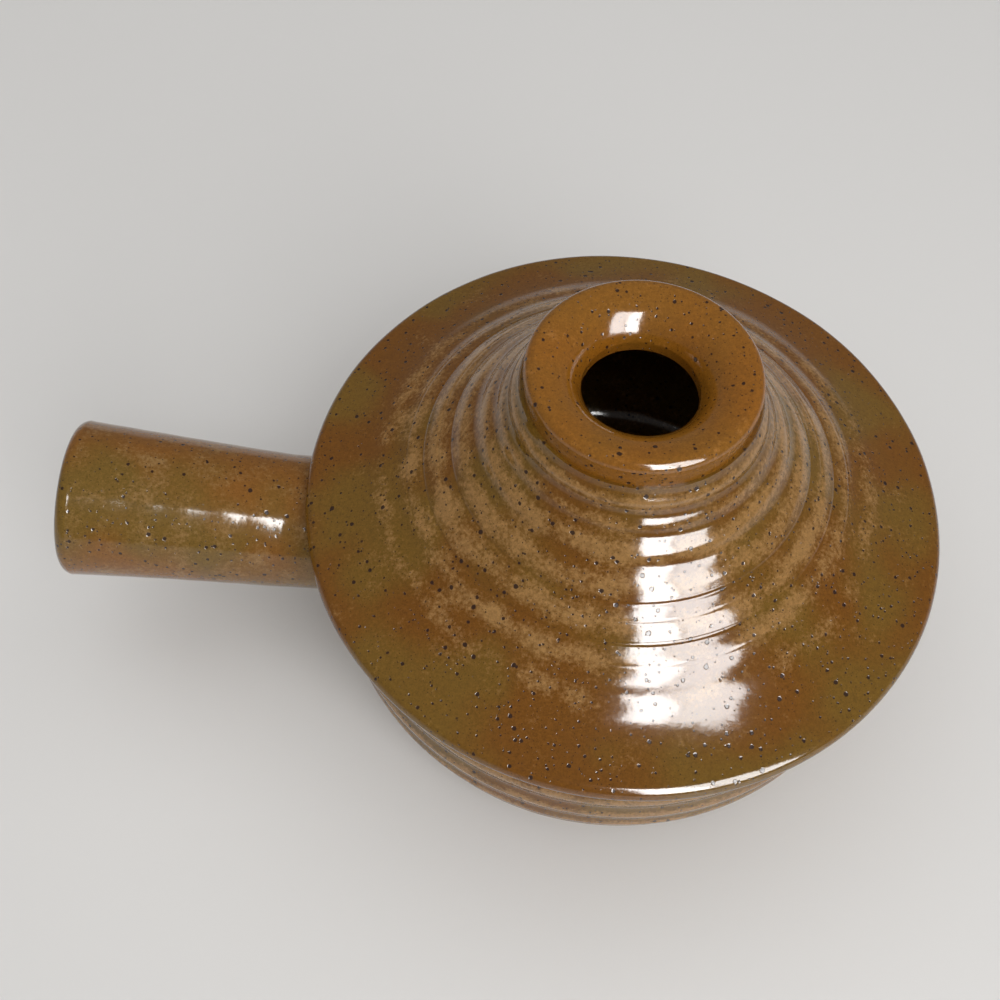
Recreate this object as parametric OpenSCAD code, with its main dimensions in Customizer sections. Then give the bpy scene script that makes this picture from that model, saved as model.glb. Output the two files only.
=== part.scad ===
// Lidded soup crock of wheel-thrown, glazed stoneware.
// A round crock carries a hollow side handle, and a conical lid with a dished, pierced knob rests on its rim.
// The origin is at the centre of the foot, +Z is up and the handle points towards -X.

/* [Crock] */
// Height of the rim above the table
crock_h = 54; // [46:0.5:70]
// Outer radius of the rim
rim_r = 64; // [60:0.5:66]
// Outer radius at the fullest part of the belly
belly_r = 67.2; // [66.5:0.1:70]
// Height of the fullest part of the belly
belly_h = 29.5; // [24:0.5:36]
// Fullness of the curve from the belly to the foot, where 2 is an ellipse
belly_fullness = 2.3; // [2:0.1:3]
// Thickness of the wall
crock_wall = 5.5; // [4:0.1:7]
// Thickness of the floor
crock_floor = 6; // [4:0.1:9]
// Radius of the two rounded edges of the rim
rim_round = 1.6; // [0.5:0.1:1.8]

/* [Foot] */
// Outer radius of the turned foot ring
foot_r = 50; // [42:0.5:56]
// Height of the foot ring
foot_h = 3; // [2:0.1:5]
// Width of the face that the foot ring stands on
foot_w = 6; // [4:0.1:10]
// Depth of the recess inside the foot ring
foot_recess = 2.5; // [1:0.1:4]
// Chamfer on the outer edge of the foot ring
foot_chamfer = 0.8; // [0.2:0.1:1.5]

/* [Handle] */
// Length of the handle along its axis, from the belly outwards
handle_len = 62.5; // [40:0.5:90]
// Outer radius of the handle at its root
handle_root_r = 16.1; // [12:0.1:17]
// Outer radius of the handle at its open end
handle_end_r = 18.6; // [16:0.1:22]
// How late the handle widens, where 1 is a straight taper
handle_flare = 1.5; // [1:0.1:3]
// Thickness of the handle's wall
handle_wall = 5; // [3.5:0.1:7]
// Upward tilt of the handle's axis in degrees
handle_tilt = 10; // [4:0.5:14]
// Radius of the outer edge at the handle's open end
handle_end_round = 3; // [1:0.1:3.2]
// Gap between the top of the handle and the underside of the lid
handle_gap = 0.6; // [0.4:0.1:3]

/* [Lid] */
// Outer radius of the lid
lid_r = 72; // [70:0.5:80]
// Thickness of the lid's rounded edge
lid_edge_t = 5.5; // [4:0.1:7]
// Thickness of the cone's wall
lid_wall = 5; // [4:0.1:6]
// Outer radius of the neck below the knob
neck_r = 24.3; // [22:0.1:28]
// Height of the top of the neck above the lid's seat
neck_h = 41.4; // [34:0.1:52]
// Radius of the opening in the top of the neck
neck_opening_r = 17.5; // [15:0.1:19]
// Steepness of the cone under the neck in degrees
neck_slope = 75; // [65:1:80]
// Steepness of the cone at the lid's edge in degrees
edge_slope = 16; // [10:1:22]
// How far the neck's steepness reaches down the cone
neck_reach = 16; // [10:0.5:20]
// How far the edge's steepness reaches up the cone
edge_reach = 21.6; // [14:0.2:26]

/* [Locating ring under the lid] */
// Gap between the locating ring and the crock's mouth
ring_gap = 1.2; // [0.5:0.1:2]
// Thickness of the locating ring
ring_t = 4.5; // [3:0.1:6]
// Depth of the locating ring below the lid's seat
ring_drop = 6; // [4:0.1:10]
// Radius of the ring's lower edges
ring_round = 1.5; // [0.5:0.1:1.5]

/* [Knob] */
// Widest radius of the knob
knob_r = 23.8; // [22:0.1:26]
// Height of the knob's lip above the neck
knob_h = 6.3; // [5.5:0.1:9]
// Radius of the knob's rounded lip
knob_lip = 2.2; // [1.5:0.1:2.6]
// Width of the ledge that the neck leaves round the knob
knob_ledge = 0.6; // [0.3:0.1:1.5]
// Radius of the steam vent through the knob
vent_r = 12; // [9:0.1:13]
// Depth of the vent's edge below the knob's lip
dish_depth = 6; // [4.5:0.1:6.5]
// Radius of the vent's rounded edge
vent_round = 1.4; // [0.5:0.1:1.6]
// Depth to which the knob's collar reaches into the neck
collar_drop = 3.2; // [2:0.1:5]

/* [Throwing ridges] */
// Distance from one ridge to the next along the clay
ridge_pitch = 7.9; // [5:0.1:11]
// Height of a ridge above the furrow beside it
ridge_height = 1; // [0.2:0.1:1.4]
// Distance from the top of the neck to the crest of a ridge on the cone
ridge_start = 10.2; // [4:0.1:14]

/* [Hidden] */
$fn = 96;

// Steps along each curve and round each rounded edge
curve_steps = 48;
edge_steps = 6;
// Height over which the ridges fade out beside a rim, neck or foot
ridge_fade = 5;
// Height above the table at which the crock's ridges start
ridge_low_h = 9;
// Depth to which the raw handle reaches into the crock before it is trimmed to the wall
handle_sink = 12;

mouth_r = rim_r - crock_wall;
shoulder_h = crock_h - rim_round;
floor_z = foot_recess + crock_floor;
floor_r = foot_r - 2 * crock_wall;
ring_r = mouth_r - ring_gap;
ring_in_r = ring_r - ring_t;
neck_z = crock_h + neck_h;
knob_base_r = neck_r - knob_ledge;
vent_edge_h = knob_h - dish_depth;

// The handle's axis starts at the belly's radius. Its height keeps the handle's top under the flat of the lid.
lid_flat_r = lid_r - lid_edge_t / 2;
handle_under_lid = max(0, (lid_flat_r - belly_r + handle_root_r * sin(handle_tilt)) / cos(handle_tilt));
handle_z = crock_h - handle_gap - handle_under_lid * sin(handle_tilt)
    - handle_radius(handle_under_lid) * cos(handle_tilt);

// Points of an arc, from angle a to angle b
function arc(centre, r, a, b, steps) =
    [for (i = [0 : steps]) centre + r * [cos(a + (b - a) * i / steps), sin(a + (b - a) * i / steps)]];

// Point of a cubic curve at t, from 0 to 1
function cubic(p, t) =
    pow(1 - t, 3) * p[0] + 3 * pow(1 - t, 2) * t * p[1] + 3 * (1 - t) * t * t * p[2] + pow(t, 3) * p[3];

// Unit normal of a cubic curve at t, to the left of its run
function cubic_normal(p, t) =
    let (d = pow(1 - t, 2) * (p[1] - p[0]) + 2 * (1 - t) * t * (p[2] - p[1]) + t * t * (p[3] - p[2]))
    [-d.y, d.x] / norm(d);

// Length of a cubic curve from its start to each of its steps
function cubic_lengths(p, steps, i = 0, so_far = 0) =
    i > steps ? [] : concat([so_far], cubic_lengths(p, steps, i + 1,
        so_far + norm(cubic(p, (i + 1) / steps) - cubic(p, i / steps))));

// Height of the ridges at distance s from a crest, where room is the distance to the end of the ridges
function ridge(s, room) = ridge_height / 2 * cos(360 * s / ridge_pitch) * max(0, min(1, room / ridge_fade));

// Rounded turn from a wall at [wall_r, top] to a floor at [base_r, base], without its two end points
function turned_under(wall_r, top, base_r, base) =
    [for (i = [1 : curve_steps - 1])
        let (a = 90 * i / curve_steps)
        [base_r + (wall_r - base_r) * pow(cos(a), 2 / belly_fullness),
         top - (top - base) * pow(sin(a), 2 / belly_fullness)]];

// Radius between belly and rim, on an arc that is upright at the belly and ends where the rim's rounding starts
function shoulder_r(z, widest_r, top_r) =
    let (dr = widest_r - top_r, dz = shoulder_h - belly_h, r = (dr * dr + dz * dz) / (2 * dr))
    widest_r - r + sqrt(r * r - pow(z - belly_h, 2));

// Adds the throwing ridges to points of the crock's outside
function with_ridges(points) =
    [for (p = points) p + [ridge(p.y - belly_h, min(shoulder_h - p.y, p.y - ridge_low_h)), 0]];

// Radius of the handle at distance s along its axis
function handle_radius(s) =
    handle_root_r + (handle_end_r - handle_root_r) * pow(max(0, s) / handle_len, handle_flare);

// The crock's outside from the rim down to the top of the foot ring
function crock_outside() =
    let (rim_edge = arc([rim_r - rim_round, shoulder_h], rim_round, 90, 0, edge_steps),
         shoulder = [for (i = [1 : curve_steps / 2])
             let (z = shoulder_h - (shoulder_h - belly_h) * i / (curve_steps / 2))
             [shoulder_r(z, belly_r, rim_r), z]])
    concat(rim_edge, with_ridges(concat(shoulder, turned_under(belly_r, belly_h, foot_r, foot_h))));

// The crock's inside from the floor up to the rim
function crock_inside() =
    let (inner_belly = belly_r - crock_wall,
         turn = turned_under(inner_belly, belly_h, floor_r, floor_z),
         shoulder = [for (i = [0 : edge_steps - 1])
             let (z = belly_h + (shoulder_h - belly_h) * i / edge_steps)
             [shoulder_r(z, inner_belly, mouth_r), z]],
         rim_edge = arc([mouth_r + rim_round, shoulder_h], rim_round, 180, 90, edge_steps))
    concat([[0, floor_z], [floor_r, floor_z]], [for (i = [len(turn) - 1 : -1 : 0]) turn[i]], shoulder, rim_edge);

module crock_bowl() {
    foot = [[foot_r, foot_h], [foot_r, foot_chamfer], [foot_r - foot_chamfer, 0], [foot_r - foot_w, 0],
        [foot_r - foot_w - foot_recess, foot_recess], [0, foot_recess]];
    color("#8f6433")
    rotate_extrude()
    polygon(concat(crock_outside(), foot, crock_inside()));
}

// The space that the crock fills up to its outside, to trim what is joined to its wall
module crock_space() {
    rotate_extrude()
    polygon(concat([[0, crock_h]], crock_outside(), [[foot_r, foot_h], [0, foot_h]]));
}

// Outline of the handle's wall in its own frame, with x as the radius and y as the distance along the axis
function handle_outline() =
    let (side = [for (i = [0 : curve_steps / 2])
             let (s = -handle_sink + (handle_len - handle_end_round + handle_sink) * i / (curve_steps / 2))
             [handle_radius(s), s]],
         end_r = handle_radius(handle_len - handle_end_round),
         outer_edge = arc([end_r - handle_end_round, handle_len - handle_end_round], handle_end_round,
             0, 90, edge_steps),
         inner_round = handle_end_round / 2,
         inner_edge = arc([end_r - handle_wall + inner_round, handle_len - inner_round], inner_round,
             90, 180, edge_steps))
    concat(side, outer_edge, inner_edge, [for (i = [len(side) - 1 : -1 : 0]) side[i] - [handle_wall, 0]]);

module handle_tube() {
    color("#86622f")
    difference() {
        translate([-belly_r, 0, handle_z])
        rotate([0, handle_tilt - 90, 0])
        rotate_extrude()
        polygon(handle_outline());
        crock_space();
    }
}

// Course of the cone's outside, from the neck down to the rounded edge
cone_end = [lid_flat_r, crock_h + lid_edge_t / 2] + lid_edge_t / 2 * [sin(edge_slope), cos(edge_slope)];
cone_course = [
    [neck_r, neck_z],
    [neck_r, neck_z] + neck_reach * [cos(neck_slope), -sin(neck_slope)],
    cone_end + edge_reach * [-cos(edge_slope), sin(edge_slope)],
    cone_end];
cone_lengths = cubic_lengths(cone_course, curve_steps);

module lid_cone() {
    outside = [for (i = [0 : curve_steps])
        let (t = i / curve_steps, s = cone_lengths[i], room = min(s, cone_lengths[curve_steps] - s))
        cubic(cone_course, t) + ridge(s - ridge_start, room) * cubic_normal(cone_course, t)];
    edge = arc([lid_flat_r, crock_h + lid_edge_t / 2], lid_edge_t / 2, 90 - edge_slope, -90, 2 * edge_steps);
    inside = [for (i = [curve_steps : -1 : 0])
        let (t = i / curve_steps, p = cubic(cone_course, t) - lid_wall * cubic_normal(cone_course, t))
        if (p.x < ring_in_r - lid_wall / 2 && p.x > neck_opening_r && p.y < neck_z - collar_drop) p];
    color("#8c6130")
    rotate_extrude()
    polygon(concat(outside, [for (i = [1 : len(edge) - 1]) edge[i]], [[ring_in_r, crock_h]], inside,
        [[neck_opening_r, neck_z - collar_drop], [neck_opening_r, neck_z]]));
}

module lid_knob() {
    lip_centre = [knob_r - knob_lip, knob_h - knob_lip];
    dish_slope = 40;
    vent_slope = 15;
    lip = arc(lip_centre, knob_lip, 0, 90 + dish_slope, 2 * edge_steps);
    vent_centre = [vent_r + vent_round, vent_edge_h - vent_round];
    vent_edge = arc(vent_centre, vent_round, 90 - vent_slope, 180, edge_steps);
    dish_top = lip[len(lip) - 1];
    dish_reach = (dish_top.x - vent_edge[0].x) / 2;
    dish = [dish_top, dish_top - dish_reach * [cos(dish_slope), sin(dish_slope)],
        vent_edge[0] + dish_reach * [cos(vent_slope), sin(vent_slope)], vent_edge[0]];
    color("#9a642a")
    translate([0, 0, neck_z])
    rotate_extrude()
    polygon(concat([[knob_base_r, 0]], lip, [for (i = [1 : edge_steps]) cubic(dish, i / (edge_steps + 1))],
        vent_edge, [[vent_r, -collar_drop], [neck_opening_r, -collar_drop], [neck_opening_r, 0]]));
}

module lid_locating_ring() {
    bottom = crock_h - ring_drop + ring_round;
    color("#a07a48")
    rotate_extrude()
    polygon(concat([[ring_in_r, crock_h]],
        arc([ring_in_r + ring_round, bottom], ring_round, 180, 270, edge_steps),
        arc([ring_r - ring_round, bottom], ring_round, 270, 360, edge_steps),
        [[ring_r, crock_h]]));
}

crock_bowl();
handle_tube();
lid_cone();
lid_knob();
lid_locating_ring();
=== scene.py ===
"""Looks of the lidded soup crock: wheel-thrown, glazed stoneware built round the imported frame.

Profiles are drawn in millimetres, as on a potter's template, and each is spun into a piece. The scene is in metres,
in the frame of the solids: the origin at the centre of the foot, +Z up and the handle along -X.
"""

import math

import bpy
import numpy as np
from mathutils import Matrix, Vector


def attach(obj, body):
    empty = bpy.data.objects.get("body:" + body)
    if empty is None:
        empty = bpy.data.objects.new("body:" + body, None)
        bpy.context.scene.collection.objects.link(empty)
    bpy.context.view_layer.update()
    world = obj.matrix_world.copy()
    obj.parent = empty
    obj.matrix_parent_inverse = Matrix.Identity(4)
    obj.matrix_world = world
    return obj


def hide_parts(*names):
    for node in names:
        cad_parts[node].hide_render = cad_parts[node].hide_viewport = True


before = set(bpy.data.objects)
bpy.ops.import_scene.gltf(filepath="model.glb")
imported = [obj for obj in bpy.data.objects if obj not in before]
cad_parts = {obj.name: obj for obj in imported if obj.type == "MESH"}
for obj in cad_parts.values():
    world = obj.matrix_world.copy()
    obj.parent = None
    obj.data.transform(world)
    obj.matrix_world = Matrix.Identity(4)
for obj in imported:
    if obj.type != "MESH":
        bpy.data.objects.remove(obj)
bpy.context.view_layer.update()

MM = 0.001

# Sizes that the pieces share with the solids, in millimetres
CROCK_H, RIM_R, BELLY_R, BELLY_H, BELLY_FULLNESS = 54, 64, 67.2, 29.5, 2.3
CROCK_WALL, CROCK_FLOOR, RIM_ROUND = 5.5, 6, 1.6
FOOT_R, FOOT_H, FOOT_W, FOOT_RECESS, FOOT_CHAMFER = 50, 3, 6, 2.5, 0.8
HANDLE_LEN, HANDLE_ROOT_R, HANDLE_END_R, HANDLE_FLARE = 62.5, 16.1, 18.6, 1.5
HANDLE_WALL, HANDLE_TILT, HANDLE_END_ROUND = 5, math.radians(10), 3
HANDLE_Z = 36.636
LID_R, LID_EDGE_T, LID_WALL = 72, 5.5, 5
NECK_R, NECK_H, NECK_OPENING_R = 24.3, 41.4, 17.5
RING_R, RING_IN_R, RING_DROP, RING_ROUND = 57.3, 52.8, 6, 1.5
KNOB_R, KNOB_H, KNOB_LIP, KNOB_LEDGE = 23.8, 6.3, 2.2, 0.6
VENT_R, DISH_DEPTH, VENT_ROUND, COLLAR_DROP = 12, 6, 1.4, 3.2
NECK_Z = CROCK_H + NECK_H
SHOULDER_H = CROCK_H - RIM_ROUND


# Points of profiles: each is (radius, height, thinness of the glaze, bareness of the clay)
def arc(centre, radius, start, end, steps, thin=0.5, bare=0.0):
    """Points of an arc from one angle to the other, in degrees."""
    turn = [math.radians(start + (end - start) * i / steps) for i in range(steps + 1)]
    return [(centre[0] + radius * math.cos(a), centre[1] + radius * math.sin(a), thin, bare) for a in turn]


def cubic(p, t):
    a, b, c, d = (1 - t) ** 3, 3 * (1 - t) ** 2 * t, 3 * (1 - t) * t * t, t ** 3
    return np.array([a * p[0][k] + b * p[1][k] + c * p[2][k] + d * p[3][k] for k in (0, 1)])


def smooth(x):
    x = min(1, max(0, x))
    return x * x * (3 - 2 * x)


def densely(points, step, keep=1e-6):
    """Fills a coarse profile with points no further than step apart."""
    out = [points[0]]
    for p, q in zip(points, points[1:]):
        n = max(1, math.ceil(math.dist(p[:2], q[:2]) / step))
        out += [tuple(p[k] + (q[k] - p[k]) * i / n for k in range(4)) for i in range(1, n + 1)]
    return [p for i, p in enumerate(out) if i == 0 or math.dist(p[:2], out[i - 1][:2]) > keep]


# The finger marks on the cone: distance from the neck along the clay, height and half width of each ridge
CONE_RIDGES = (
    (3.6, 0.5, 2.4), (8.6, 0.35, 2.6), (14.3, 0.55, 3.6), (21.5, 0.5, 3.9), (29.0, 0.45, 3.9),
    (36.2, 0.38, 3.8), (43.6, 0.26, 4.0))
# Fine lines that a tool left: distance from the neck, depth and half width
CONE_LINES = ((24.9, 0.10, 0.35), (28.2, 0.06, 0.3), (32.8, 0.12, 0.35), (37.2, 0.06, 0.3))


def cone_relief(s):
    """How far the cone stands out of its smooth course at distance s from the neck."""
    out = sum(h * math.exp(-((s - at) / w) ** 2 * 2) for at, h, w in CONE_RIDGES)
    return out - sum(d * math.exp(-((s - at) / w) ** 2) for at, d, w in CONE_LINES)


def cone_outside():
    """The cone from its neck down to the rounded edge."""
    slope, edge = math.radians(75), math.radians(12)
    flat_r = LID_R - LID_EDGE_T / 2
    end = (flat_r + LID_EDGE_T / 2 * math.sin(edge), CROCK_H + LID_EDGE_T / 2 * (1 + math.cos(edge)))
    course = ((NECK_R, NECK_Z), (NECK_R + 16 * math.cos(slope), NECK_Z - 16 * math.sin(slope)),
              (end[0] - 20 * math.cos(edge), end[1] + 20 * math.sin(edge)), end)
    fine = [cubic(course, i / 1200) for i in range(1201)]
    s = np.concatenate([[0], np.cumsum([math.dist(a, b) for a, b in zip(fine, fine[1:])])])
    points = []
    at = 0.0
    while at < s[-1]:
        near_line = min(abs(at - line[0]) for line in CONE_LINES)
        i = int(np.searchsorted(s, at))
        along = (fine[min(i + 2, 1200)] - fine[max(i - 2, 0)])
        out = np.array([-along[1], along[0]]) / np.linalg.norm(along)
        room = smooth(min(at / 1.5, (s[-1] - at) / 4))
        relief = cone_relief(at) * room
        thin = smooth(0.6 + (relief - 0.28) * 1.4)
        if at > s[-1] - 6:
            thin *= (s[-1] - at) / 6
        p = fine[i] + out * relief
        points.append((p[0], p[1], thin, 0.0))
        at += 0.14 if near_line < 1 else 0.42
    return points + arc((flat_r, CROCK_H + LID_EDGE_T / 2), LID_EDGE_T / 2, 90 - math.degrees(edge), -90, 18, 0.1)


def cone_profile():
    outside = cone_outside()
    seat = [(RIM_R + 3, CROCK_H, 0.3, 0.2), (RIM_R + 1, CROCK_H, 0.5, 1), (RING_IN_R, CROCK_H, 0.5, 1)]
    inside = []
    for p, q in zip(outside[::6], outside[6::6]):
        length = math.dist(p[:2], q[:2])
        r, z = p[0] + LID_WALL * (q[1] - p[1]) / length, p[1] - LID_WALL * (q[0] - p[0]) / length
        if NECK_OPENING_R < r < RING_IN_R - LID_WALL / 2 and z < NECK_Z - COLLAR_DROP:
            inside.append((r, z, 0.4, 0.0))
    inside.sort(key=lambda p: -p[0])
    seat = densely(seat + inside[:1], 1.5)
    top = [(NECK_OPENING_R, NECK_Z - COLLAR_DROP, 0.4, 0.0), (NECK_OPENING_R, NECK_Z, 0.4, 0.0), outside[0]]
    return outside + seat + inside[1:] + top


def knob_profile():
    """The dished knob with its rounded lip, pierced by the vent, and the collar that fills the neck."""
    base_r = NECK_R - KNOB_LEDGE
    lip = arc((KNOB_R - KNOB_LIP, KNOB_H - KNOB_LIP), KNOB_LIP, 0, 98, 14, 0.3)
    vent = arc((VENT_R + VENT_ROUND, KNOB_H - DISH_DEPTH - VENT_ROUND), VENT_ROUND, 158, 180, 5, 0.5)
    reach = (lip[-1][0] - vent[0][0]) / 2
    a, b = math.radians(8), math.radians(68)
    course = (lip[-1], (lip[-1][0] - reach * math.cos(a), lip[-1][1] - reach * math.sin(a)),
              (vent[0][0] + reach * math.cos(b), vent[0][1] + reach * math.sin(b)), vent[0])
    dish = [(*cubic(course, i / 24), 0.25, 0.0) for i in range(1, 24)]
    wall = densely([(base_r, 0, 0.2, 0), lip[0]], 0.4)[:-1]
    shaft = densely([vent[-1], (VENT_R, -COLLAR_DROP, 0.3, 0), (NECK_OPENING_R, -COLLAR_DROP, 0.3, 0),
                     (NECK_OPENING_R, 0, 0.3, 0), (base_r, 0, 0.2, 0)], 1)
    points = wall + lip + dish + vent + shaft[1:]
    return [(r, z + NECK_Z, thin, bare) for r, z, thin, bare in points]


def locating_ring_profile():
    low = CROCK_H - RING_DROP + RING_ROUND
    points = [(RING_IN_R, CROCK_H, 0.5, 1)]
    points += arc((RING_IN_R + RING_ROUND, low), RING_ROUND, 180, 270, 8, bare=1.0)
    points += arc((RING_R - RING_ROUND, low), RING_ROUND, 270, 360, 8, bare=1.0)
    points += [(RING_R, CROCK_H, 0.5, 1), (RING_IN_R, CROCK_H, 0.5, 1)]
    return densely(points, 0.9)


def shoulder_r(z, widest_r, top_r):
    """Radius between belly and rim, on an arc that is upright at the belly."""
    dr, dz = widest_r - top_r, SHOULDER_H - BELLY_H
    r = (dr * dr + dz * dz) / (2 * dr)
    return widest_r - r + math.sqrt(r * r - (z - BELLY_H) ** 2)


def turned_under(wall_r, top, base_r, base, steps):
    """Rounded turn from a wall down to a floor."""
    points = []
    for i in range(1, steps):
        a = math.pi / 2 * i / steps
        points.append((base_r + (wall_r - base_r) * math.cos(a) ** (2 / BELLY_FULLNESS),
                       top - (top - base) * math.sin(a) ** (2 / BELLY_FULLNESS)))
    return points


def crock_profile():
    """The crock from the middle of its floor, up its inside, over the rim and down to the foot."""
    inner_belly, mouth_r = BELLY_R - CROCK_WALL, RIM_R - CROCK_WALL
    floor_z, floor_r = FOOT_RECESS + CROCK_FLOOR, FOOT_R - 2 * CROCK_WALL
    inside = [(0, floor_z, 0.4, 0), (floor_r, floor_z, 0.4, 0)]
    inside += [(*p, 0.4, 0) for p in turned_under(inner_belly, BELLY_H, floor_r, floor_z, 24)[::-1]]
    inside += [(shoulder_r(z, inner_belly, mouth_r), z, 0.4, 0)
               for z in np.linspace(BELLY_H, SHOULDER_H, 12)[:-1]]
    rim = arc((mouth_r + RIM_ROUND, SHOULDER_H), RIM_ROUND, 180, 90, 8, bare=1.0)
    rim += arc((RIM_R - RIM_ROUND, SHOULDER_H), RIM_ROUND, 90, 0, 8, bare=1.0)
    outside = []
    wall = [(shoulder_r(z, BELLY_R, RIM_R), z) for z in np.linspace(SHOULDER_H, BELLY_H, 60)[1:]]
    for r, z in wall + turned_under(BELLY_R, BELLY_H, FOOT_R, FOOT_H, 90):
        ridge = math.cos(math.tau * (z - BELLY_H) / 7.9) * smooth(min(SHOULDER_H - z, z - 9) / 5)
        outside.append((r + ridge * 0.35, z, smooth(0.5 + ridge * 0.5), smooth((5 - z) / 1.5)))
    foot = [(FOOT_R, FOOT_H, 0.5, 1), (FOOT_R, FOOT_CHAMFER, 0.5, 1), (FOOT_R - FOOT_CHAMFER, 0, 0.5, 1),
            (FOOT_R - FOOT_W, 0, 0.5, 1), (FOOT_R - FOOT_W - FOOT_RECESS, FOOT_RECESS, 0.5, 1),
            (0, FOOT_RECESS, 0.5, 1)]
    return densely(inside, 2) + rim + outside + densely(foot, 2)


def handle_radius(s):
    return HANDLE_ROOT_R + (HANDLE_END_R - HANDLE_ROOT_R) * (max(0, s) / HANDLE_LEN) ** HANDLE_FLARE


# The clay worked round the handle's root: how far the root zone reaches along the handle and how far its fillet spreads
ROOT_ZONE, ROOT_FILLET = 12, 2.6


def handle_profile():
    """The hollow handle from the root outside, round the open end and back down the bore."""
    side = []
    for s in np.linspace(0, HANDLE_LEN - HANDLE_END_ROUND, 90):
        rib = 0.02 * math.cos(math.tau * s / 8.5) * smooth(min(s - 4, HANDLE_LEN - 4 - s) / 6)
        side.append((handle_radius(s) - 0.1 + rib, s, smooth(0.5 + 4 * rib), 0))
    end_r = handle_radius(HANDLE_LEN - HANDLE_END_ROUND)
    inner_round = HANDLE_END_ROUND / 2
    end = arc((end_r - HANDLE_END_ROUND, HANDLE_LEN - HANDLE_END_ROUND), HANDLE_END_ROUND, 0, 90, 12, 0.1)
    end += arc((end_r - HANDLE_WALL + inner_round, HANDLE_LEN - inner_round), inner_round, 90, 180, 8, 0.3)
    bore = [(r - HANDLE_WALL, s, 0.3, 0) for r, s, _, _ in side[::-1]]
    return side + end[1:] + bore + [side[0]]


def spun(name, profile, steps):
    """Draws a profile point by point and turns it once round the upright axis."""
    points = [Vector((p[0], 0, p[1])) * MM for p in profile]
    bpy.ops.object.select_all(action="DESELECT")
    bpy.ops.mesh.primitive_plane_add(size=MM)
    piece = bpy.context.object
    piece.name = piece.data.name = name
    bpy.ops.object.mode_set(mode="EDIT")
    bpy.ops.mesh.merge(type="CENTER")
    bpy.ops.transform.translate(value=points[0])
    for p, q in zip(points, points[1:]):
        bpy.ops.mesh.extrude_region_move(TRANSFORM_OT_translate={"value": q - p})
    bpy.ops.object.mode_set(mode="OBJECT")
    wheel = piece.modifiers.new("Wheel", "SCREW")
    wheel.axis = "Z"
    wheel.angle = math.tau
    wheel.steps = wheel.render_steps = steps
    wheel.use_merge_vertices = True
    wheel.merge_threshold = 0.004 * MM
    bpy.ops.object.modifier_apply(modifier=wheel.name)
    bpy.ops.object.mode_set(mode="EDIT")
    bpy.ops.mesh.select_all(action="SELECT")
    bpy.ops.mesh.remove_doubles(threshold=0.004 * MM)
    bpy.ops.mesh.normals_make_consistent(inside=False)
    bpy.ops.object.mode_set(mode="OBJECT")
    note_glaze(piece, profile)
    return piece


def note_glaze(piece, profile):
    """Writes how thin the glaze is and how bare the clay, point by point, as the profile gives them."""
    count = len(piece.data.vertices)
    place = np.empty(count * 3)
    piece.data.vertices.foreach_get("co", place)
    place = place.reshape(-1, 3)
    out, along = np.hypot(place[:, 0], place[:, 1]), place[:, 2]
    shape = np.array(profile) * [MM, MM, 1, 1]
    nearest = np.empty(count, int)
    for i in range(0, count, 4000):
        part = slice(i, i + 4000)
        nearest[part] = np.hypot(out[part, None] - shape[:, 0], along[part, None] - shape[:, 1]).argmin(axis=1)
    for column, label in ((2, "thin"), (3, "bare")):
        values = piece.data.attributes.new(label, "FLOAT", "POINT")
        values.data.foreach_set("value", shape[nearest, column])


def by_hand(piece, label, size, depth, keep_off=()):
    """Lets a piece's surface wander inwards by up to depth, as a hand-thrown wall does, away from its seats."""
    free = piece.vertex_groups.new(name=label)
    for v in piece.data.vertices:
        weight = 1.0
        for low, high in keep_off:
            if low * MM - 1e-6 <= v.co.z <= high * MM + 1e-6:
                weight = 0.0
        if weight:
            free.add([v.index], weight, "REPLACE")
    texture = bpy.data.textures.new(label, "CLOUDS")
    texture.noise_scale = size * MM
    texture.noise_depth = 1
    wander = piece.modifiers.new(label, "DISPLACE")
    wander.texture = texture
    wander.texture_coords = "LOCAL"
    wander.mid_level = 1
    wander.strength = depth * MM
    wander.vertex_group = label
    bpy.ops.object.select_all(action="DESELECT")
    bpy.context.view_layer.objects.active = piece
    piece.select_set(True)
    bpy.ops.object.modifier_apply(modifier=label)


def crock_wall_r(z):
    """Outside radius of the crock at a height, without its ridges, in millimetres."""
    if z >= BELLY_H:
        return shoulder_r(min(z, SHOULDER_H), BELLY_R, RIM_R)
    fall = (BELLY_H - max(z, FOOT_H)) / (BELLY_H - FOOT_H)
    across = math.sqrt(1 - min(1, fall ** BELLY_FULLNESS)) ** (2 / BELLY_FULLNESS)
    return FOOT_R + (BELLY_R - FOOT_R) * across


def seat_handle(piece):
    """Spreads the handle's root on to the crock's wall, with the clay worked into a fillet that thins out under the rim."""
    axis = np.array([-math.cos(HANDLE_TILT), 0, math.sin(HANDLE_TILT)])
    foot = np.array([-BELLY_R, 0, HANDLE_Z])
    for v in piece.data.vertices:
        p = np.array(v.co) / MM - foot
        s = p @ axis
        out = p - s * axis
        r = np.linalg.norm(out)
        if s > ROOT_ZONE or r < 1:
            continue
        near = 1 - max(0, s) / ROOT_ZONE
        outer = r > HANDLE_ROOT_R - HANDLE_WALL / 2
        up = max(0, out[2] / r)
        from_wall = ROOT_ZONE * (1 - near) ** 2
        spread = ROOT_FILLET * (1 - 0.7 * up) if outer else 0
        gap = max(0, spread - from_wall)
        r2 = r + (spread - math.sqrt(max(0, spread ** 2 - gap ** 2)) if spread else 0)
        q = foot + s * axis + out / r * r2
        wall = -math.sqrt(max(1, (crock_wall_r(q[2]) - 0.7) ** 2 - q[1] ** 2))
        q[0] += near * (wall - (foot + s * axis + out / r * r2)[0])
        v.co = Vector(q * MM)


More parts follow.
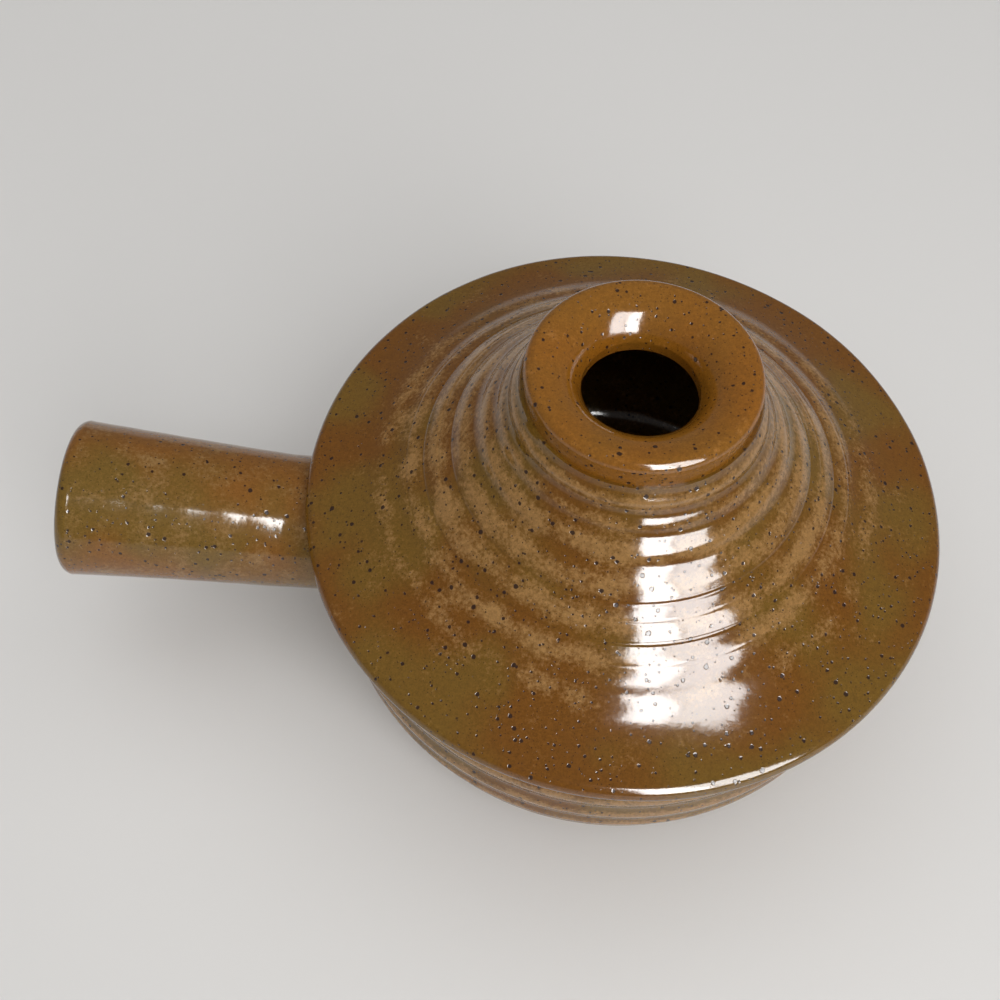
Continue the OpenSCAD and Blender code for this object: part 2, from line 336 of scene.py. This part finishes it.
# Shader node groups and materials
def put(tree, kind, settings=None, **values):
    """Adds a node. Values go to its inputs by name, and one that is a socket is linked."""
    node = tree.nodes.new(kind)
    for key, value in (settings or {}).items():
        setattr(node, key, value)
    for key, value in values.items():
        target = node.inputs[int(key[1:])] if key[0] == "i" and key[1:].isdigit() else node.inputs[key.replace("_", " ")]
        if isinstance(value, bpy.types.NodeSocket):
            tree.links.new(value, target)
        else:
            target.default_value = value
    return node


def maths(tree, operation, a, b=0.0, clamp=False):
    return put(tree, "ShaderNodeMath", {"operation": operation, "use_clamp": clamp}, i0=a, i1=b).outputs[0]


def ramp(tree, value, low, high, to_low=0.0, to_high=1.0):
    """Smooth step of a value from low to high."""
    return put(tree, "ShaderNodeMapRange", {"interpolation_type": "SMOOTHSTEP"},
               i0=value, i1=low, i2=high, i3=to_low, i4=to_high).outputs[0]


def blend(tree, factor, a, b, mode="MIX"):
    node = put(tree, "ShaderNodeMix", {"data_type": "RGBA", "blend_type": mode}, i0=factor, i6=a, i7=b)
    return node.outputs[2]


def noise(tree, position, size, detail=2.0, roughness=0.5):
    """Noise with blotches about size millimetres across."""
    return put(tree, "ShaderNodeTexNoise", None, Vector=position, Scale=1 / (size * MM), Detail=detail,
               Roughness=roughness).outputs[0]


def new_group(name, inputs, outputs):
    tree = bpy.data.node_groups.new(name, "ShaderNodeTree")
    for label, kind, value in inputs:
        made = tree.interface.new_socket(name=label, in_out="INPUT", socket_type="NodeSocket" + kind)
        if value is not None:
            made.default_value = value
    for label, kind in outputs:
        tree.interface.new_socket(name=label, in_out="OUTPUT", socket_type="NodeSocket" + kind)
    return tree, tree.nodes.new("NodeGroupInput").outputs, tree.nodes.new("NodeGroupOutput").inputs


def iron_specks():
    """Specks of iron that bleed through a glaze: one to a cell of the pattern, in a share of the cells."""
    tree, given, out = new_group("Iron specks", [
        ("Position", "Vector", None), ("Cell", "Float", 2.0), ("Share", "Float", 0.5), ("Smallest", "Float", 0.1),
        ("Largest", "Float", 0.3)], [("Mask", "Float")])
    per_metre = maths(tree, "DIVIDE", 1 / MM, given["Cell"])
    scaled = put(tree, "ShaderNodeVectorMath", {"operation": "SCALE"}, i0=given["Position"], Scale=per_metre).outputs[0]
    ragged = put(tree, "ShaderNodeTexNoise", None, Vector=scaled, Scale=3.0, Detail=2.0).outputs[1]
    shifted = put(tree, "ShaderNodeMix", {"data_type": "VECTOR"}, i0=0.16, i4=scaled, i5=ragged).outputs[1]
    cells = put(tree, "ShaderNodeTexVoronoi", None, Vector=shifted, Scale=1.0)
    dice = put(tree, "ShaderNodeSeparateColor", None, Color=cells.outputs["Color"]).outputs
    there = maths(tree, "LESS_THAN", dice[0], given["Share"])
    wide = maths(tree, "MULTIPLY", maths(tree, "POWER", dice[1], 2.0), maths(tree, "SUBTRACT", given["Largest"], given["Smallest"]))
    radius = maths(tree, "ADD", given["Smallest"], wide)
    inner = maths(tree, "MULTIPLY", radius, 0.7)
    dot = ramp(tree, cells.outputs["Distance"], radius, inner)
    tree.links.new(maths(tree, "MULTIPLY", dot, there), out["Mask"])
    return tree


def stoneware_glaze(specks):
    """Speckled brown glaze that breaks tan where it is thin and pools amber where it is thick, over bare clay."""
    tree, given, out = new_group("Stoneware glaze", [
        ("Position", "Vector", None), ("Thin", "Float", 0.5), ("Bare", "Float", 0.0),
        ("Tan", "Color", (0.3, 0.2, 0.1, 1)), ("Amber", "Color", (0.2, 0.08, 0.02, 1)),
        ("Olive", "Color", (0.2, 0.14, 0.05, 1)), ("Clay", "Color", (0.5, 0.4, 0.3, 1)),
        ("Speck", "Color", (0.022, 0.009, 0.005, 1)), ("Speckling", "Float", 1.0), ("Break", "Float", 0.5)],
        [("Colour", "Color"), ("Roughness", "Float"), ("Height", "Float")])
    at = given["Position"]
    drift = noise(tree, at, 30, 2)
    patch = noise(tree, at, 7, 3)
    grain = noise(tree, at, 0.9, 3, 0.65)
    fine = noise(tree, at, 0.35, 2, 0.6)
    wander = maths(tree, "ADD", maths(tree, "MULTIPLY", maths(tree, "SUBTRACT", patch, 0.5), 1.9),
                   maths(tree, "MULTIPLY", maths(tree, "SUBTRACT", grain, 0.5), 1.6))
    level = maths(tree, "ADD", maths(tree, "ADD", given["Thin"], given["Break"]), wander)
    thin = ramp(tree, level, 0.45, 1.35)
    pool = blend(tree, ramp(tree, drift, 0.4, 0.62), given["Amber"], given["Olive"])
    colour = blend(tree, thin, pool, given["Tan"])
    shade = maths(tree, "ADD", 0.3, maths(tree, "MULTIPLY", maths(tree, "ADD", grain, fine), 0.7))
    colour = blend(tree, 1.0, colour, put(tree, "ShaderNodeCombineColor", None, i0=shade, i1=shade, i2=shade).outputs[0],
                   "MULTIPLY")
    share = given["Speckling"]
    masks = []
    for cell, part, small, large in ((1.9, 0.9, 0.13, 0.27), (1.15, 0.95, 0.11, 0.23), (0.62, 0.95, 0.12, 0.24)):
        masks.append(put(tree, "ShaderNodeGroup", {"node_tree": specks}, Position=at, Cell=cell,
                         Share=maths(tree, "MULTIPLY", share, part), Smallest=small, Largest=large).outputs[0])
    bold = maths(tree, "MAXIMUM", masks[0], masks[1])
    colour = blend(tree, maths(tree, "MULTIPLY", masks[2], 0.7), colour, given["Speck"])
    colour = blend(tree, maths(tree, "MULTIPLY", bold, 0.93), colour, given["Speck"])
    colour = blend(tree, given["Bare"], colour, given["Clay"])
    tree.links.new(colour, out["Colour"])
    rough = maths(tree, "ADD", 0.07, maths(tree, "MULTIPLY", grain, 0.07))
    rough = maths(tree, "ADD", rough, maths(tree, "MULTIPLY", bold, 0.1))
    rough = maths(tree, "ADD", rough, maths(tree, "MULTIPLY", given["Bare"], 0.65), clamp=True)
    tree.links.new(rough, out["Roughness"])
    peel = maths(tree, "MULTIPLY", noise(tree, at, 3.2, 2), 0.28)
    height = maths(tree, "SUBTRACT", peel, maths(tree, "MULTIPLY", bold, 0.45))
    height = maths(tree, "ADD", height, maths(tree, "MULTIPLY", grain, 0.12))
    tree.links.new(height, out["Height"])
    return tree


def glazed(name, group, **look):
    """A glossy material over the glaze group. The bump stands for the orange peel and pits that are too fine for mesh."""
    material = bpy.data.materials.new(name)
    material.use_nodes = True
    tree = material.node_tree
    tree.nodes.clear()
    place = put(tree, "ShaderNodeTexCoord").outputs["Object"]
    thin = put(tree, "ShaderNodeAttribute", {"attribute_name": "thin"}).outputs["Fac"]
    bare = put(tree, "ShaderNodeAttribute", {"attribute_name": "bare"}).outputs["Fac"]
    glaze = put(tree, "ShaderNodeGroup", {"node_tree": group}, Position=place, Thin=thin, Bare=bare, **look)
    bump = put(tree, "ShaderNodeBump", None, Strength=1.0, Distance=0.1 * MM, Height=glaze.outputs["Height"])
    shader = put(tree, "ShaderNodeBsdfPrincipled", None, Base_Color=glaze.outputs["Colour"],
                 Roughness=glaze.outputs["Roughness"], Normal=bump.outputs[0], IOR=1.5)
    end = tree.nodes.new("ShaderNodeOutputMaterial")
    tree.links.new(shader.outputs[0], end.inputs["Surface"])
    return material


specks = iron_specks()
glaze = stoneware_glaze(specks)
TAN, AMBER, OLIVE = (0.29, 0.155, 0.05, 1), (0.15, 0.056, 0.005, 1), (0.15, 0.078, 0.01, 1)
lid_glaze = glazed("Lid glaze", glaze, Tan=TAN, Amber=AMBER, Olive=OLIVE, Break=0.15)
crock_glaze = glazed("Crock glaze", glaze, Tan=TAN, Amber=AMBER, Olive=OLIVE, Break=0.15)
handle_glaze = glazed("Handle glaze", glaze, Tan=(0.24, 0.135, 0.045, 1), Amber=(0.2, 0.08, 0.012, 1),
                      Olive=(0.15, 0.085, 0.014, 1), Break=0.05)
knob_glaze = glazed("Knob glaze", glaze, Tan=(0.3, 0.135, 0.03, 1), Amber=(0.24, 0.088, 0.008, 1),
                    Olive=(0.22, 0.09, 0.01, 1), Speckling=1.15, Break=0.0)
bare_clay = glazed("Bare clay", glaze, Clay=(0.42, 0.3, 0.19, 1), Speckling=0.6)


def finished(piece, material, body, node):
    """Dresses a piece, lets it ride on its body and stand for its solid."""
    bpy.ops.object.select_all(action="DESELECT")
    bpy.context.view_layer.objects.active = piece
    piece.select_set(True)
    bpy.ops.object.shade_smooth_by_angle(angle=math.radians(50))
    piece.data.materials.clear()
    piece.data.materials.append(material)
    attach(piece, body)
    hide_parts(node)


crock = spun("glazed_crock", crock_profile(), 320)
by_hand(crock, "crock_wander", 30, 0.25, keep_off=((-1, 5), (SHOULDER_H - 1, CROCK_H + 1)))
finished(crock, crock_glaze, "crock", "crock_bowl")

handle = spun("glazed_handle", handle_profile(), 160)
handle.rotation_euler.y = HANDLE_TILT - math.pi / 2
handle.location = Vector((-BELLY_R, 0, HANDLE_Z)) * MM
bpy.ops.object.transform_apply(location=True, rotation=True, scale=False)
seat_handle(handle)
by_hand(handle, "handle_wander", 22, 0.15)
finished(handle, handle_glaze, "crock", "handle_tube")

lid = spun("glazed_lid", cone_profile(), 320)
by_hand(lid, "lid_wander", 28, 0.3, keep_off=((CROCK_H - 1, CROCK_H + 0.3), (NECK_Z - 4, NECK_Z + 1)))
finished(lid, lid_glaze, "lid", "lid_cone")

knob = spun("glazed_knob", knob_profile(), 256)
finished(knob, knob_glaze, "lid", "lid_knob")

locating_ring = spun("locating_ring", locating_ring_profile(), 200)
finished(locating_ring, bare_clay, "lid", "lid_locating_ring")

# Camera, from the photograph's viewing angle
LOOK_AT, DISTANCE = Vector((-27.6, -3.7, 56.75)) * MM, 250.4 * MM
DOWN, ROLL, LENS, SENSOR = math.radians(58.36), math.radians(1.5), 39.6, 36
ahead = Vector((0, math.cos(DOWN), -math.sin(DOWN)))
right = Vector((1, 0, 0))
up = right.cross(ahead)
tilted_right = right * math.cos(ROLL) + up * math.sin(ROLL)
tilted_up = up * math.cos(ROLL) - right * math.sin(ROLL)
camera_data = bpy.data.cameras.new("Camera")
camera_data.lens, camera_data.sensor_width = LENS, SENSOR
camera_data.clip_start = 0.01
camera = bpy.data.objects.new("Camera", camera_data)
bpy.context.scene.collection.objects.link(camera)
camera.matrix_world = Matrix.Translation(LOOK_AT - ahead * DISTANCE) @ Matrix(
    (tilted_right, tilted_up, -ahead)).transposed().to_4x4()
bpy.context.scene.camera = camera

# Floor and surroundings
bpy.ops.object.select_all(action="DESELECT")
bpy.ops.mesh.primitive_plane_add(size=8, location=(0, 0, 0))
floor = bpy.context.object
floor.name = "floor"
pale = bpy.data.materials.new("Pale floor")
pale.use_nodes = True
pale.node_tree.nodes["Principled BSDF"].inputs["Base Color"].default_value = (0.7, 0.69, 0.675, 1)
pale.node_tree.nodes["Principled BSDF"].inputs["Roughness"].default_value = 0.6
floor.data.materials.append(pale)

world = bpy.data.worlds.new("Studio")
bpy.context.scene.world = world
world.use_nodes = True
world.node_tree.nodes["Background"].inputs["Color"].default_value = (1, 0.98, 0.96, 1)
world.node_tree.nodes["Background"].inputs["Strength"].default_value = 0.2

# The light of the ceiling, kept out of the glaze's reflections
CEILING_SIZE, CEILING_HIGH, CEILING_RADIANCE = 2.4, 1.4, 1.0
ceiling = bpy.data.lights.new("Ceiling light", "AREA")
ceiling.size = CEILING_SIZE
ceiling.energy = CEILING_RADIANCE * math.pi * CEILING_SIZE ** 2
ceiling_holder = bpy.data.objects.new("Ceiling light", ceiling)
ceiling_holder.location = (0, 0, CEILING_HIGH)
ceiling_holder.visible_glossy = False
bpy.context.scene.collection.objects.link(ceiling_holder)

WINDOW_FAR = 1.1


def pane(name, turns, heights, radiance, glossy):
    """An upright pane of the window, between two directions in degrees and two heights in metres above the crock."""
    middle, half = (turns[0] + turns[1]) / 2, (turns[1] - turns[0]) / 2
    a = math.radians(middle)
    towards = Vector((math.cos(a), math.sin(a), 0))
    lamp = bpy.data.lights.new(name, "AREA")
    lamp.shape = "RECTANGLE"
    lamp.size = 2 * WINDOW_FAR * math.tan(math.radians(half))
    lamp.size_y = heights[1] - heights[0]
    lamp.energy = radiance * math.pi * lamp.size * lamp.size_y
    holder = bpy.data.objects.new(name, lamp)
    bpy.context.scene.collection.objects.link(holder)
    at = towards * WINDOW_FAR + Vector((0, 0, 0.07 + (heights[0] + heights[1]) / 2))
    holder.matrix_world = Matrix.Translation(at) @ towards.to_track_quat("Z", "Y").to_matrix().to_4x4()
    holder.visible_diffuse = not glossy
    holder.visible_glossy = glossy
    return holder


WINDOW_HEIGHTS = (WINDOW_FAR * math.tan(math.radians(12)), WINDOW_FAR * math.tan(math.radians(59)))
pane("Window light", (-81, -40), WINDOW_HEIGHTS, 3.4, False)
pane("Window left pane", (-81, -62), WINDOW_HEIGHTS, 26, True)
pane("Window right pane", (-61, -40), WINDOW_HEIGHTS, 17, True)

bpy.context.scene.view_settings.view_transform = "Standard"
